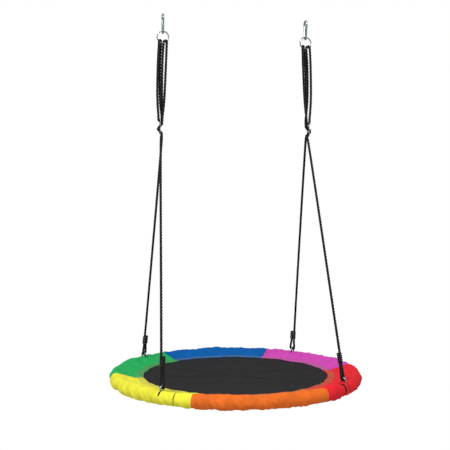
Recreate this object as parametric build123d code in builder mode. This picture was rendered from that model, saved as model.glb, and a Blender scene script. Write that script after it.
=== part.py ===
"""Saucer platform swing: a padded round seat hung on two ropes from two snap hooks.

Millimetres, +Z up. The origin is the middle of the hook line: the line through the two
places where a hanger bears on the inside of each snap hook. +X runs to the right-hand
hook and the seat swings along Y.
"""
from build123d import *
import os
from math import acos, asin, atan2, cos, degrees, hypot, pi, radians, sin, sqrt, tan

os.makedirs("parts", exist_ok=True)

# ---------------------------------------------------------------- overall sizes
SEAT_DIAMETER = 1000.0      # over the padded rim
HOOK_SPAN = 580.0           # between the two snap hooks
HANG_DROP = 1419.0          # hook line to the middle of the rim
SIDES = {"left": -1, "right": 1}
CORNERS = {"left_front": 225.0, "left_back": 135.0, "right_front": 315.0, "right_back": 45.0}

# ---------------------------------------------------------------- rim
COVER_RADIUS = 26.0         # outside of the padded rim
COVER_WALL = 3.0
FOAM_FIT = 0.5              # slack between foam and cover
TUBE_RADIUS = 12.5
TUBE_WALL = 1.5
SLEEVE_FIT = 0.3            # foam on tube
SPIGOT_FIT = 0.1            # reduced tube end inside the next tube
SPIGOT_LENGTH = 35.0
NECK_LENGTH = 6.0           # where the tube is drawn down to its spigot
JOINT_ANGLES = [38.0, 142.0, 232.0, 308.0]
JOINT_GAP = 14.0            # bare tube each side of a joint screw, inside the foam
SCREW_RADIUS = 2.1
SCREW_HEAD_RADIUS = 4.0
SCREW_HEAD_HEIGHT = 2.6
SCREW_LENGTH = 7.0
SCREW_FIT = 0.05
HEM_WIDTH = 34.0            # flat sewn edge inside the padded rim
RIM_BAND = 133.0            # from the outside of the rim to the inner edge of the hem
MAT_THICKNESS = 2.4
MAT_FIT = 0.15              # mat between the two layers of the hem
HEM_THICKNESS = 2.0
MAT_LAP = 31.0              # how far the mat reaches under the hem

# ---------------------------------------------------------------- steel eyes
EYE_ROD_RADIUS = 3.0
EYE_BEND_RADIUS = 9.5       # centreline of the hoop's bend
EYE_ABOVE_COVER = 15.0      # centreline of the hoop's top above the cover
EYE_LEG_END = 6.0           # the legs' ends, above the rim's middle; their inner sides meet the tube
WELD_GAP = 0.1
SLIT_FIT = 0.6              # cover and foam around the hoop

# ---------------------------------------------------------------- snap hooks and rings
HOOK_LENGTH = 80.0
HOOK_WIDTH = 40.0
HOOK_WIRE_RADIUS = 4.0
HOOK_FOOT_RADIUS = 9.0      # centreline of the small bend that carries the ring
GATE_RADIUS = 3.9
GATE_LENGTH = 35.0          # pivot to top of gate
GATE_GAP = 0.8              # gate to nose
PIVOT_ABOVE_FOOT = 5.0      # along the gate's line from the end of the small bend
PIVOT_BALL_FIT = 0.5
TONGUE_THICKNESS = 3.0
TONGUE_FIT = 0.4
TONGUE_RADIUS = 3.0
PIN_RADIUS = 1.2
PIN_FIT = 0.05
NOSE_TAB_LENGTH = 6.0
TAB_ROOT = 2.0              # how far the tab and the tongue run into the rod
NOSE_TAB_FIT = 1.0          # below the tab, in the gate's slot
BORE_RADIUS = 2.0           # bore of the gate for its spring
SPRING_WIRE_RADIUS = 0.25
SPRING_FIT = 0.15
SPRING_PITCH = 2.2
SPRING_TURNS = 6.5
RING_WIRE_RADIUS = 2.5
RING_RADIUS = 22.5          # centreline
LINK_FIT = 0.3              # between hook and ring
PIN_LENGTH = 7.0
PLUNGER_RADIUS = 1.2
PLUNGER_HEAD = 1.6
PLUNGER_LENGTH = 7.0
PLUNGER_FIT = 0.2
BORE_END = 25.0             # above the pivot

# ---------------------------------------------------------------- rope and its fittings
ROPE_RADIUS = 4.0
PLATE_DROP = 463.0          # hook line to the foot of the adjuster plate
PLATE_THICKNESS = 3.0
PLATE_BAR = 5.0             # bars between and beyond the plate's holes
PLATE_SLOT_HEIGHT = 14.0
PLATE_SLOT_WIDTH = 23.0
PLATE_EDGE = 4.0            # beside the holes
PLATE_ROUNDING = 1.4
CLAMP_HEIGHT = 37.0
# hoop's wire to the foot of the clamp
CLAMP_ABOVE_EYE = {"left_front": 66.0, "left_back": 44.0, "right_front": 56.0, "right_back": 44.0}
CLAMP_CORE_WALL = 3.5
CLAMP_RIB = 1.4
CLAMP_RIB_HEIGHT = 4.6
CLAMP_RIBS = 4
CLAMP_FIT = 0.1
ROPE_LAY = 0.4              # half the gap between two ropes lying side by side
RING_FIT = 0.2              # rope over the ring's lower wire
LOOP_SEAT_FIT = 0.7         # under the hoop, where a loop bears on it
LOOP_SIDE_FIT = {"left": 0.9, "right": 2.1}   # beside the hoop; the right-hand loops are slack
LOOP_SHOULDER = 12.0        # where a loop starts to close, above the hoop's wire
LOOP_NECK = 6.0             # where a loop is closed, below its clamp

# ---------------------------------------------------------------- worked out from these
RIM_RADIUS = SEAT_DIAMETER / 2 - COVER_RADIUS
HEM_INNER_RADIUS = SEAT_DIAMETER / 2 - RIM_BAND
EYE_HEIGHT = COVER_RADIUS + EYE_ABOVE_COVER
ROPE_PAIR = ROPE_RADIUS + ROPE_LAY
FOAM_RADIUS = COVER_RADIUS - COVER_WALL - FOAM_FIT
HOOK_X = HOOK_SPAN / 2
HOOK_HEAD_RADIUS = HOOK_WIDTH / 2 - HOOK_WIRE_RADIUS
HOOK_HEAD_Z = HOOK_WIRE_RADIUS - HOOK_HEAD_RADIUS
HOOK_FOOT_Z = 2 * HOOK_WIRE_RADIUS - HOOK_LENGTH + HOOK_WIRE_RADIUS + HOOK_FOOT_RADIUS
HOOK_SEAT_Z = HOOK_FOOT_Z - HOOK_FOOT_RADIUS
RING_TOP_Z = HOOK_SEAT_Z + HOOK_WIRE_RADIUS + LINK_FIT + RING_WIRE_RADIUS
RING_Z = RING_TOP_Z - RING_RADIUS
FORK_DEPTH = TONGUE_RADIUS + TONGUE_FIT
SLOT_END = GATE_LENGTH + GATE_GAP - NOSE_TAB_LENGTH - NOSE_TAB_FIT
PLUNGER_FOOT = TONGUE_RADIUS + PLUNGER_FIT
SPRING_FOOT = PLUNGER_FOOT + PLUNGER_HEAD + SPRING_FIT + SPRING_WIRE_RADIUS
PLATE_LENGTH = 3 * PLATE_SLOT_HEIGHT + 4 * PLATE_BAR
PLATE_FOOT_Z = -PLATE_DROP
PLATE_TOP_Z = PLATE_FOOT_Z + PLATE_LENGTH
EYE_BEND_Z = EYE_HEIGHT - EYE_BEND_RADIUS
MAT_RADIUS = HEM_INNER_RADIUS + MAT_LAP


def rim_plane(angle):
    """A plane across the rim at an angle from +X: its x is radial and its y is up."""
    a = radians(angle)
    return Plane(origin=(0, 0, -HANG_DROP), x_dir=(cos(a), sin(a), 0), z_dir=(sin(a), -cos(a), 0))


def arc_angle(length):
    """The angle that a length takes along the middle of the rim."""
    return degrees(length / RIM_RADIUS)


# ================================================================ frame tubes
def screw_plane(angle):
    """A plane under the tube at a joint screw, facing up."""
    a = radians(angle)
    return Plane(
        origin=(RIM_RADIUS * cos(a), RIM_RADIUS * sin(a), -HANG_DROP - TUBE_RADIUS),
        x_dir=(cos(a), sin(a), 0),
        z_dir=(0, 0, 1),
    )


# each tube runs from one joint to the next; its far end is reduced and goes into the next tube
TUBE_NAMES = ["frame_tube_back", "frame_tube_left", "frame_tube_front", "frame_tube_right"]
SCREW_ANGLES = [angle + arc_angle(SPIGOT_LENGTH / 2) for angle in JOINT_ANGLES]
INNER_RADIUS = TUBE_RADIUS - TUBE_WALL

for index, tube_name in enumerate(TUBE_NAMES):
    start = JOINT_ANGLES[index]
    end = JOINT_ANGLES[(index + 1) % 4] + (360.0 if index == 3 else 0.0)
    next_screw = SCREW_ANGLES[(index + 1) % 4]
    with BuildPart() as tube:
        with BuildSketch(rim_plane(start)) as wall:
            with Locations((RIM_RADIUS, 0)):
                Circle(TUBE_RADIUS)
                Circle(INNER_RADIUS, mode=Mode.SUBTRACT)
        revolve(axis=Axis.Z, revolution_arc=end - start - arc_angle(WELD_GAP))
        spigot_start = end - arc_angle(NECK_LENGTH)
        with BuildSketch(rim_plane(spigot_start)) as neck:
            with Locations((RIM_RADIUS, 0)):
                Circle(TUBE_RADIUS)
                Circle(INNER_RADIUS - SPIGOT_FIT - TUBE_WALL, mode=Mode.SUBTRACT)
        revolve(axis=Axis.Z, revolution_arc=arc_angle(NECK_LENGTH) - arc_angle(WELD_GAP))
        with BuildSketch(rim_plane(spigot_start)) as spigot:
            with Locations((RIM_RADIUS, 0)):
                Circle(INNER_RADIUS - SPIGOT_FIT)
                Circle(INNER_RADIUS - SPIGOT_FIT - TUBE_WALL, mode=Mode.SUBTRACT)
        revolve(axis=Axis.Z, revolution_arc=arc_angle(NECK_LENGTH + SPIGOT_LENGTH))
        for angle in (SCREW_ANGLES[index], next_screw):
            with BuildSketch(screw_plane(angle).offset(-1)):
                Circle(SCREW_RADIUS + SCREW_FIT)
            extrude(amount=SCREW_LENGTH + 2, mode=Mode.SUBTRACT)
    tube.part.label = tube_name
    export_step(tube.part, f"parts/{tube_name}.step")

# ---------------------------------------------------------------- joint screws, heads underneath
with BuildPart() as screws:
    for angle in SCREW_ANGLES:
        with BuildSketch(screw_plane(angle).offset(-SCREW_FIT)):
            Circle(SCREW_RADIUS)
        extrude(amount=SCREW_LENGTH)
        with BuildSketch(screw_plane(angle).offset(-SCREW_FIT)):
            Circle(SCREW_HEAD_RADIUS)
        extrude(amount=-SCREW_HEAD_HEIGHT, taper=20)
screws.part.label = "joint_screws"
export_step(screws.part, "parts/joint_screws.step")


# ================================================================ steel eyes
def hoop_slot(angle, clearance, foot):
    """The sketch of the slot that a hoop needs through foam or cover, on the plane across the rim."""
    half = EYE_BEND_RADIUS + EYE_ROD_RADIUS + clearance
    with BuildSketch(rim_plane(angle)) as slot:
        with Locations((RIM_RADIUS, foot)):
            Rectangle(2 * half, EYE_HEIGHT + 2 * COVER_RADIUS, align=(Align.CENTER, Align.MIN))
    return slot


for corner, angle in CORNERS.items():
    with BuildPart() as eye:
        with BuildLine(rim_plane(angle)) as hoop:
            Line((RIM_RADIUS - EYE_BEND_RADIUS, EYE_LEG_END), (RIM_RADIUS - EYE_BEND_RADIUS, EYE_BEND_Z))
            ThreePointArc(
                (RIM_RADIUS - EYE_BEND_RADIUS, EYE_BEND_Z),
                (RIM_RADIUS, EYE_HEIGHT),
                (RIM_RADIUS + EYE_BEND_RADIUS, EYE_BEND_Z),
            )
            Line((RIM_RADIUS + EYE_BEND_RADIUS, EYE_BEND_Z), (RIM_RADIUS + EYE_BEND_RADIUS, EYE_LEG_END))
        hoop_line = hoop.wire()
        with BuildSketch(Plane(origin=hoop_line @ 0, z_dir=hoop_line % 0)):
            Circle(EYE_ROD_RADIUS)
        sweep(path=hoop_line)
        # the tube that the legs stand on
        around = arc_angle(4 * EYE_ROD_RADIUS)
        with BuildSketch(rim_plane(angle - around)):
            with Locations((RIM_RADIUS, 0)):
                Circle(TUBE_RADIUS + WELD_GAP)
        revolve(axis=Axis.Z, revolution_arc=2 * around, mode=Mode.SUBTRACT)
    eye.part.label = f"eye_{corner}"
    export_step(eye.part, f"parts/eye_{corner}.step")

# ================================================================ foam sleeves
FOAM_NAMES = ["foam_sleeve_back", "foam_sleeve_left", "foam_sleeve_front", "foam_sleeve_right"]

for index, foam_name in enumerate(FOAM_NAMES):
    start = SCREW_ANGLES[index] + arc_angle(JOINT_GAP)
    end = SCREW_ANGLES[(index + 1) % 4] - arc_angle(JOINT_GAP) + (360.0 if index == 3 else 0.0)
    with BuildPart() as foam:
        with BuildSketch(rim_plane(start)):
            with Locations((RIM_RADIUS, 0)):
                Circle(FOAM_RADIUS)
                Circle(TUBE_RADIUS + SLEEVE_FIT, mode=Mode.SUBTRACT)
        revolve(axis=Axis.Z, revolution_arc=end - start)
        for angle in CORNERS.values():
            if start < angle < end or start < angle + 360 < end:
                slot = hoop_slot(angle, SLIT_FIT, 0)
                extrude(slot.sketch, amount=EYE_ROD_RADIUS + SLIT_FIT, both=True, mode=Mode.SUBTRACT)
    foam.part.label = foam_name
    export_step(foam.part, f"parts/{foam_name}.step")

# ================================================================ cover panels
PANELS = {"magenta": 0.0, "blue": 60.0, "green": 120.0, "yellow": 180.0, "orange": 240.0, "red": 300.0}
PANEL_ANGLE = 60.0
HEM_OUTER_RADIUS = HEM_INNER_RADIUS + HEM_WIDTH
LIP_TOP = MAT_THICKNESS / 2 + MAT_FIT + HEM_THICKNESS
CAVITY_EDGE = HEM_OUTER_RADIUS + 2 * COVER_WALL
SEAM_GAP = 1.0              # inside the cover, where its two layers meet


def teardrop(radius, edge_x, edge_y, mode=Mode.ADD):
    """Sketch the padded rim's section: a round, and two flanks that close on a blunt edge."""
    reach = hypot(RIM_RADIUS - edge_x, edge_y)
    touch = atan2(edge_y, RIM_RADIUS - edge_x) + acos(radius / reach)
    touch_x = RIM_RADIUS - radius * cos(touch)
    touch_y = radius * sin(touch)
    with Locations((RIM_RADIUS, 0)):
        Circle(radius, mode=mode)
    flanks = [(edge_x, edge_y), (touch_x, touch_y), (touch_x, -touch_y), (edge_x, -edge_y)]
    Polygon(*flanks, align=None, mode=mode)


for colour, start in PANELS.items():
    with BuildPart() as cover:
        with BuildSketch(rim_plane(start)) as section:
            teardrop(COVER_RADIUS, HEM_OUTER_RADIUS, LIP_TOP)
            with Locations((HEM_INNER_RADIUS, 0)):
                Rectangle(HEM_WIDTH + COVER_WALL, 2 * LIP_TOP, align=(Align.MIN, Align.CENTER))
            teardrop(COVER_RADIUS - COVER_WALL, CAVITY_EDGE, SEAM_GAP / 2, mode=Mode.SUBTRACT)
            with Locations((HEM_INNER_RADIUS - 1, 0)):
                Rectangle(
                    MAT_LAP + 1 + MAT_FIT,
                    MAT_THICKNESS + 2 * MAT_FIT,
                    align=(Align.MIN, Align.CENTER),
                    mode=Mode.SUBTRACT,
                )
        revolve(axis=Axis.Z, revolution_arc=PANEL_ANGLE)
        for angle in CORNERS.values():
            if start < angle < start + PANEL_ANGLE:
                slot = hoop_slot(angle, SLIT_FIT, 0)
                extrude(slot.sketch, amount=EYE_ROD_RADIUS + SLIT_FIT, both=True, mode=Mode.SUBTRACT)
    cover.part.label = f"cover_{colour}"
    export_step(cover.part, f"parts/cover_{colour}.step")

# ================================================================ mat
with BuildPart() as mat:
    with BuildSketch(Plane.XY.offset(-HANG_DROP - MAT_THICKNESS / 2)):
        Circle(MAT_RADIUS)
    extrude(amount=MAT_THICKNESS)
mat.part.label = "mat"
export_step(mat.part, "parts/mat.step")

# ================================================================ snap hooks
# Each hook lies in a plane along Y. Its small bend is at the foot, and its gate is on -Y.
TAPER = asin((HOOK_HEAD_RADIUS - HOOK_FOOT_RADIUS) / (HOOK_HEAD_Z - HOOK_FOOT_Z))
OUTWARD = Vector(-cos(TAPER), -sin(TAPER))      # away from the hook, square to the gate's line
ALONG = Vector(-sin(TAPER), cos(TAPER))         # up the gate's line
FOOT_END = Vector(0, HOOK_FOOT_Z) + OUTWARD * HOOK_FOOT_RADIUS
HEAD_END = Vector(0, HOOK_HEAD_Z) + OUTWARD * HOOK_HEAD_RADIUS
PIVOT = FOOT_END + ALONG * PIVOT_ABOVE_FOOT
NOSE = PIVOT + ALONG * (GATE_LENGTH + GATE_GAP)
TAB_END = NOSE - ALONG * NOSE_TAB_LENGTH


def across(point):
    """The same point on the other side of the hook."""
    return Vector(-point.X, point.Y)


def flat(point):
    """A point as a pair, which is read in the plane of the hook."""
    return (point.X, point.Y)


def hook_plane(side):
    """The plane of one hook: its x is +Y, its y is up and its normal is +X."""
    return Plane(origin=(side * HOOK_X, 0, 0), x_dir=(0, 1, 0), z_dir=(1, 0, 0))


def gate_plane(side, above_pivot):
    """A plane square to the gate, at a height above its pivot, facing up the gate."""
    centre = PIVOT + ALONG * above_pivot
    return Plane(
        origin=(side * HOOK_X, centre.X, centre.Y), x_dir=(1, 0, 0), z_dir=(0, ALONG.X, ALONG.Y)
    )


for side_name, side in SIDES.items():
    with BuildPart() as hook:
        with BuildLine(hook_plane(side)) as wire:
            Line(flat(NOSE), flat(HEAD_END))
            ThreePointArc(
                flat(HEAD_END), (0, HOOK_HEAD_Z + HOOK_HEAD_RADIUS), flat(across(HEAD_END))
            )
            Line(flat(across(HEAD_END)), flat(across(FOOT_END)))
            ThreePointArc(flat(across(FOOT_END)), (0, HOOK_SEAT_Z), flat(FOOT_END))
            Line(flat(FOOT_END), flat(PIVOT))
        bend_line = wire.wire()
        with BuildSketch(Plane(origin=bend_line @ 0, z_dir=bend_line % 0)):
            Circle(HOOK_WIRE_RADIUS)
        sweep(path=bend_line)
        # room for the round foot of the gate
        with BuildSketch(hook_plane(side)):
            with Locations(PIVOT):
                Circle(GATE_RADIUS + PIVOT_BALL_FIT)
        extrude(amount=HOOK_WIRE_RADIUS, both=True, mode=Mode.SUBTRACT)
        # tongue that the gate's fork straddles, and tab that its upper slot closes on
        with BuildSketch(hook_plane(side)):
            with Locations(PIVOT):
                Circle(TONGUE_RADIUS)
            with Locations((FOOT_END + PIVOT - ALONG * TAB_ROOT) * 0.5):
                Rectangle(2 * TONGUE_RADIUS, PIVOT_ABOVE_FOOT + TAB_ROOT, rotation=degrees(TAPER))
            with Locations(PIVOT):
                Circle(PIN_RADIUS + PIN_FIT, mode=Mode.SUBTRACT)
        extrude(amount=TONGUE_THICKNESS / 2, both=True)
        with BuildSketch(hook_plane(side)):
            with Locations(TAB_END + ALONG * ((NOSE_TAB_LENGTH + TAB_ROOT) / 2)):
                Rectangle(2 * TONGUE_RADIUS, NOSE_TAB_LENGTH + TAB_ROOT, rotation=degrees(TAPER))
        extrude(amount=TONGUE_THICKNESS / 2, both=True)
    hook.part.label = f"snap_hook_{side_name}"
    export_step(hook.part, f"parts/snap_hook_{side_name}.step")

    slot_depth = GATE_LENGTH - SLOT_END
    with BuildPart() as gate:
        with BuildSketch(gate_plane(side, 0)):
            Circle(GATE_RADIUS)
        extrude(amount=GATE_LENGTH)
        with Locations(gate_plane(side, 0)):
            Sphere(GATE_RADIUS)
        # upper slot for the nose tab, fork for the tongue, bore for the spring
        with BuildSketch(gate_plane(side, SLOT_END)):
            Rectangle(TONGUE_THICKNESS + 2 * TONGUE_FIT, 3 * GATE_RADIUS)
        extrude(amount=slot_depth + 1, mode=Mode.SUBTRACT)
        with BuildSketch(gate_plane(side, -2 * GATE_RADIUS)):
            Rectangle(TONGUE_THICKNESS + 2 * TONGUE_FIT, 3 * GATE_RADIUS)
        extrude(amount=2 * GATE_RADIUS + FORK_DEPTH, mode=Mode.SUBTRACT)
        with BuildSketch(gate_plane(side, FORK_DEPTH - 0.5)):
            Circle(BORE_RADIUS)
        extrude(amount=BORE_END - FORK_DEPTH + 0.5, mode=Mode.SUBTRACT)
        with BuildSketch(hook_plane(side)):
            with Locations(PIVOT):
                Circle(PIN_RADIUS)
        extrude(amount=2 * GATE_RADIUS, both=True, mode=Mode.SUBTRACT)
    gate.part.label = f"gate_{side_name}"
    export_step(gate.part, f"parts/gate_{side_name}.step")

    with BuildPart() as pin:
        with BuildSketch(hook_plane(side)):
            with Locations(PIVOT):
                Circle(PIN_RADIUS)
        extrude(amount=PIN_LENGTH / 2, both=True)
        fillet(pin.edges(), PIN_RADIUS / 4)
    pin.part.label = f"gate_pin_{side_name}"
    export_step(pin.part, f"parts/gate_pin_{side_name}.step")

    # the plunger rests on the tongue and the coil spring pushes it down from the bore's end
    with BuildPart() as plunger:
        with BuildSketch(gate_plane(side, PLUNGER_FOOT)):
            Circle(PLUNGER_RADIUS)
        extrude(amount=PLUNGER_LENGTH)
        with BuildSketch(gate_plane(side, PLUNGER_FOOT)):
            Circle(BORE_RADIUS - SPRING_FIT)
        extrude(amount=PLUNGER_HEAD)
    plunger.part.label = f"gate_plunger_{side_name}"
    export_step(plunger.part, f"parts/gate_plunger_{side_name}.step")

    coil_radius = BORE_RADIUS - SPRING_FIT - SPRING_WIRE_RADIUS
    with BuildPart() as spring:
        seat = gate_plane(side, SPRING_FOOT)
        with BuildLine() as coil:
            Helix(
                SPRING_PITCH, SPRING_PITCH * SPRING_TURNS, coil_radius,
                center=seat.origin, direction=seat.z_dir,
            )
        coil_line = coil.wire()
        with BuildSketch(Plane(origin=coil_line @ 0, z_dir=coil_line % 0)):
            Circle(SPRING_WIRE_RADIUS)
        sweep(path=coil_line, is_frenet=True)
    spring.part.label = f"gate_spring_{side_name}"
    export_step(spring.part, f"parts/gate_spring_{side_name}.step")

    with BuildPart() as ring:
        with Locations(Plane(origin=(side * HOOK_X, 0, RING_Z), x_dir=(1, 0, 0), z_dir=(0, 1, 0))):
            Torus(RING_RADIUS, RING_WIRE_RADIUS)
    ring.part.label = f"o_ring_{side_name}"
    export_step(ring.part, f"parts/o_ring_{side_name}.step")

# ================================================================ adjuster plates
# A rope hangs in a plane that leans out from its ring to the eyes on its side of the seat.
EYE_X = RIM_RADIUS * cos(radians(45))
EYE_TOP_Z = -HANG_DROP + EYE_HEIGHT


def hanger_x(z):
    """How far from the middle a rope's plane is, at a height."""
    return HOOK_X + (EYE_X - HOOK_X) * (RING_Z - z) / (RING_Z - EYE_TOP_Z)


def hang(side, inward, y, z):
    """A point by its distance in from the rope's plane, its y and its height."""
    return Vector(side * (hanger_x(z) - inward), y, z)


for side_name, side in SIDES.items():
    foot = hang(side, 0, 0, PLATE_FOOT_Z)
    up = (hang(side, 0, 0, PLATE_TOP_Z) - foot).normalized()
    plate_plane = Plane(origin=foot, x_dir=(0, 1, 0), z_dir=(up.Z, 0, -up.X))
    pitch = PLATE_SLOT_HEIGHT + PLATE_BAR
    with BuildPart() as plate:
        with BuildSketch(plate_plane):
            with Locations((0, PLATE_LENGTH / 2)):
                RectangleRounded(
                    PLATE_SLOT_WIDTH + 2 * PLATE_EDGE, PLATE_LENGTH, PLATE_SLOT_HEIGHT / 2 + PLATE_EDGE
                )
            for slot in range(3):
                with Locations((0, PLATE_BAR + PLATE_SLOT_HEIGHT / 2 + slot * pitch)):
                    RectangleRounded(
                        PLATE_SLOT_WIDTH, PLATE_SLOT_HEIGHT, PLATE_SLOT_HEIGHT / 2 - 1, mode=Mode.SUBTRACT
                    )
        extrude(amount=PLATE_THICKNESS / 2, both=True)
        broad_faces = plate.faces().sort_by(SortBy.AREA)[-2:]
        fillet(broad_faces.edges(), PLATE_ROUNDING)
    plate.part.label = f"adjuster_plate_{side_name}"
    export_step(plate.part, f"parts/adjuster_plate_{side_name}.step")

# ================================================================ ropes
# One rope on each side: front clamp, round the front eye, up to the plate, over the ring,
# round the plate's top bar, over the ring again, down through the plate, round the back eye.
RUN_SHARE = 0.45            # of the shorter run, taken by an arc
WRAP_SHARE = 0.488          # the same where the rope goes tight round steel
WEAVE_SHARE = 0.28          # the same beside the plate's two lower bars
PLATE_WEAVE = [             # inward, out along y, above the plate's foot
    (9.0, 4.8, 2.5),
    (-9.0, 4.5, 21.5),
    (9.0, 7.6, 40.5),
    (7.6, 9.0, 67.0),
]
LEG_TOP_FRONT = (2.5, 6.2, -14.0)
LEG_TOP_BACK = (11.0, 6.2, -14.0)
STRAND_FRONT = [(12.0, -9.0, 112.0), (14.0, -6.0, 172.0), (15.0, -6.0, 292.0)]
STRAND_BAR_IN = [(6.8, 0.0, 70.0), (5.0, 0.0, 112.0), (3.0, -1.0, 172.0), (1.5, 4.5, 292.0)]
STRAND_BAR_OUT = [(-6.8, 0.0, 70.0), (-12.0, -2.0, 112.0), (-16.0, -4.0, 172.0), (-17.0, -6.5, 292.0)]
STRAND_BACK = [(0.0, 9.0, 112.0), (-5.0, 7.0, 172.0), (-8.0, 7.0, 292.0)]
RING_CROSSING_X = 8.0       # each bight's place on the ring, in and out from its middle
RING_CROSSING_HALF = RING_WIRE_RADIUS + ROPE_RADIUS + 1.4
BAR_CORNER = (6.8, 52.5)    # round the top bar: inward or outward, above the plate's foot
RING_BIGHTS = [(11.0, 3.3), (-11.0, -5.5)]   # inward at the front and at the back of the ring


def run_radii(points, wraps, weaves):
    """One radius for each corner of a route.

    A corner in wraps goes tight round steel, and one in weaves passes a bar of the plate.
    """
    radii = []
    for i in range(1, len(points) - 1):
        before = points[i] - points[i - 1]
        after = points[i + 1] - points[i]
        share = WRAP_SHARE if i in wraps else WEAVE_SHARE if i in weaves else RUN_SHARE
        turn = radians(before.get_angle(after))
        radii.append(share * min(before.length, after.length) / tan(turn / 2))
    return radii


def loop_points(corner, side_name, leg_top):
    """The loop round one eye, from its dead end in the clamp to where the leg leaves the clamp.

    Also returns the place of the hoop's wire inside the loop, the way up the leg and the way
    across from the dead end to the leg.
    """
    a = radians(CORNERS[corner])
    radial = Vector(cos(a), sin(a), 0)
    inward_y = Vector(0, -1 if sin(a) > 0 else 1, 0)
    up, across_loop = Vector(0, 0, 1), Vector(0, 0, 0)
    for _ in range(6):
        lean = atan2(-up.dot(radial), up.Z)
        wire = radial * (RIM_RADIUS - EYE_BEND_RADIUS * sin(lean))
        wire += Vector(0, 0, -HANG_DROP + EYE_BEND_Z + EYE_BEND_RADIUS * cos(lean))
        up = (leg_top - across_loop * ROPE_PAIR - wire).normalized()
        along_wire = radial * cos(lean) + Vector(0, 0, sin(lean))
        across_loop = up.cross(along_wire).normalized()
        if across_loop.dot(inward_y) < 0:
            across_loop = across_loop * -1
    half = EYE_ROD_RADIUS + ROPE_RADIUS + LOOP_SIDE_FIT[side_name]
    seat = EYE_ROD_RADIUS + ROPE_RADIUS + LOOP_SEAT_FIT
    clamp_foot = CLAMP_ABOVE_EYE[corner]
    spots = [
        (-ROPE_PAIR, clamp_foot + CLAMP_HEIGHT - ROPE_RADIUS),
        (-ROPE_PAIR, clamp_foot - LOOP_NECK),
        (-half, LOOP_SHOULDER),
        (-half, -seat),
        (half, -seat),
        (half, LOOP_SHOULDER),
        (ROPE_PAIR, clamp_foot - LOOP_NECK),
    ]
    return [wire + across_loop * x + up * y for x, y in spots], wire, up, across_loop


# the height of a rope's centreline over the ring's lower wire
CROSSING_Z = RING_Z - sqrt(RING_RADIUS**2 - RING_CROSSING_X**2) + RING_CROSSING_HALF + RING_FIT


def rope_route(side_name):
    """The corners of one rope's route, and which of them go tight round steel or past a bar."""
    side = SIDES[side_name]

    def beside_plate(spot, sign=1):
        inward, y, above = spot
        return hang(side, inward, sign * y, PLATE_FOOT_Z + above)

    def over_ring(bight):
        front, back = bight
        return [
            Vector(side * (HOOK_X - front), -RING_CROSSING_HALF, CROSSING_Z),
            Vector(side * (HOOK_X - back), RING_CROSSING_HALF, CROSSING_Z),
        ]

    front_top = beside_plate(LEG_TOP_FRONT, -1)
    back_top = beside_plate(LEG_TOP_BACK, 1)
    front_loop = loop_points(f"{side_name}_front", side_name, front_top)[0]
    back_loop = loop_points(f"{side_name}_back", side_name, back_top)[0]
    bar_x, bar_z = BAR_CORNER
    parts_of_route = [
        front_loop,
        [front_top],
        [beside_plate(spot, -1) for spot in PLATE_WEAVE],
        [beside_plate(spot) for spot in STRAND_FRONT],
        over_ring(RING_BIGHTS[0]),
        [beside_plate(spot) for spot in reversed(STRAND_BAR_IN)],
        [beside_plate((bar_x, 0, bar_z)), beside_plate((-bar_x, 0, bar_z))],
        [beside_plate(spot) for spot in STRAND_BAR_OUT],
        over_ring(RING_BIGHTS[1]),
        [beside_plate(spot) for spot in reversed(STRAND_BACK)],
        [beside_plate(spot) for spot in reversed(PLATE_WEAVE)],
        [back_top],
        list(reversed(back_loop)),
    ]
    points = [point for stretch in parts_of_route for point in stretch]
    tight = front_loop[3:5] + back_loop[3:5]
    tight += parts_of_route[4] + parts_of_route[6] + parts_of_route[8]
    woven = parts_of_route[2][1:3] + parts_of_route[10][1:3]
    wraps = [i for i, point in enumerate(points) if any((point - t).length < 0.01 for t in tight)]
    weaves = [i for i, point in enumerate(points) if any((point - t).length < 0.01 for t in woven)]
    return points, wraps, weaves


for side_name, side in SIDES.items():
    points, wraps, weaves = rope_route(side_name)
    radii = run_radii(points, wraps, weaves)
    with BuildPart() as rope:
        with BuildLine() as route:
            FilletPolyline(*points, radius=radii)
        middle_line = route.wire()
        with BuildSketch(Plane(origin=middle_line @ 0, z_dir=middle_line % 0)):
            Circle(ROPE_RADIUS)
        sweep(path=middle_line)
    rope.part.label = f"rope_{side_name}"
    export_step(rope.part, f"parts/rope_{side_name}.step")
    print(f"rope_{side_name} radii", [round(radius, 1) for radius in radii])
    print(
        f"rope_{side_name} length {middle_line.length:.0f}, volume over section x length",
        round(rope.part.volume / (middle_line.length * pi * ROPE_RADIUS**2), 5),
    )

# ================================================================ rope clamps
def clamp_section(plane, radius):
    """Two round lobes side by side, one round each rope."""
    with BuildSketch(plane) as lobes:
        with Locations((-ROPE_PAIR, 0), (ROPE_PAIR, 0)):
            Circle(radius)
    return lobes.sketch


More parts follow.
